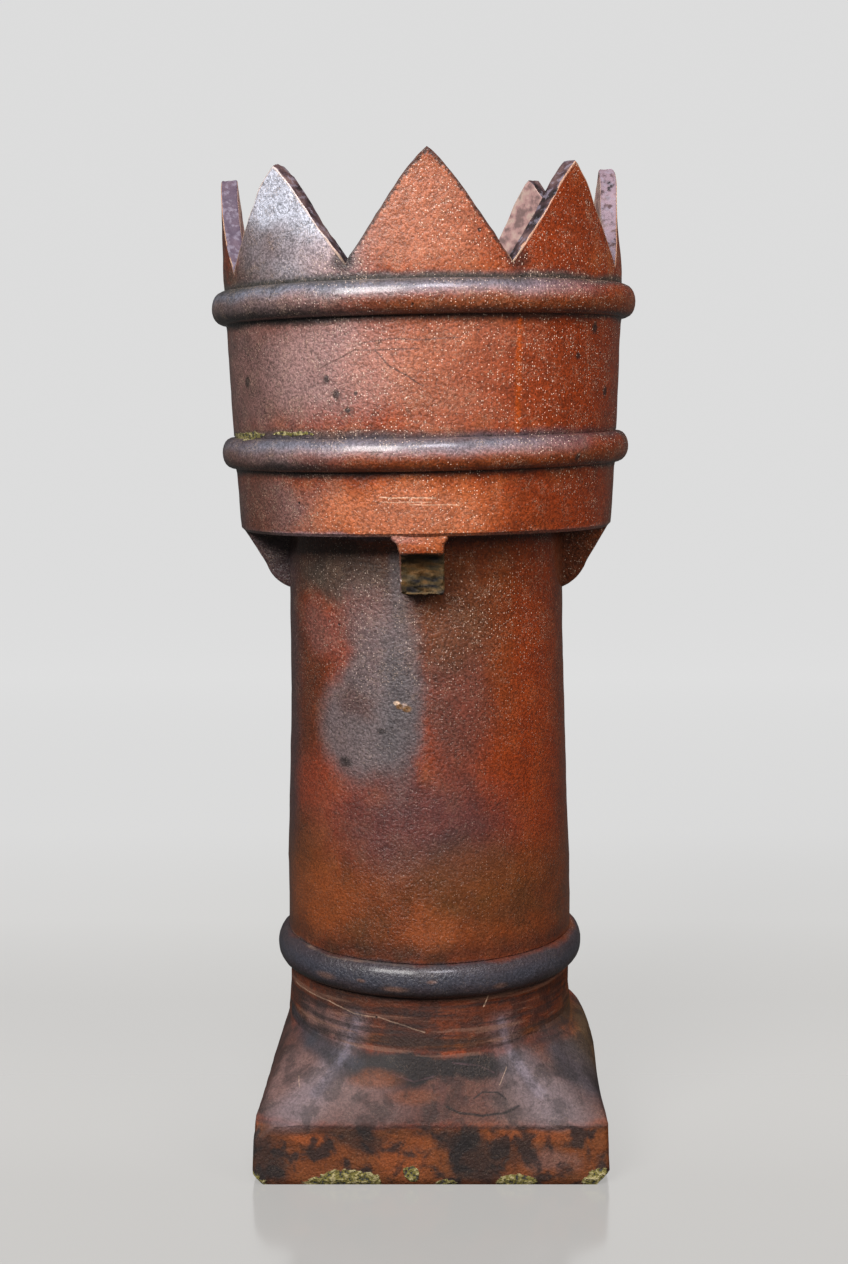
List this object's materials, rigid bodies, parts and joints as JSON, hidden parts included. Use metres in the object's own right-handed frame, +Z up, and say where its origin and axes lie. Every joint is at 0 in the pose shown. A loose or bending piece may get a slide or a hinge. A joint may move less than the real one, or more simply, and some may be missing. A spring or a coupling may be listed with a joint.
{
  "type": "chimney pot",
  "caption": "Crown-topped chimney pot of salt-glazed stoneware with a square foot, round shaft, and a vented collar on four webs.",
  "frame": {"origin": "middle of the square underside, on the surface the pot stands on", "axes": "+Z up the flue, -Y towards the broken front web, +X to the right of it"},
  "size_m": [0.3958, 0.3958, 0.914],
  "materials": {
    "glazed_clay": "salt-glazed, orange-peel gloss"
  },
  "bodies": {
    "root": {"chimney_pot": "glazed_clay"}
  },
  "joints": []
}
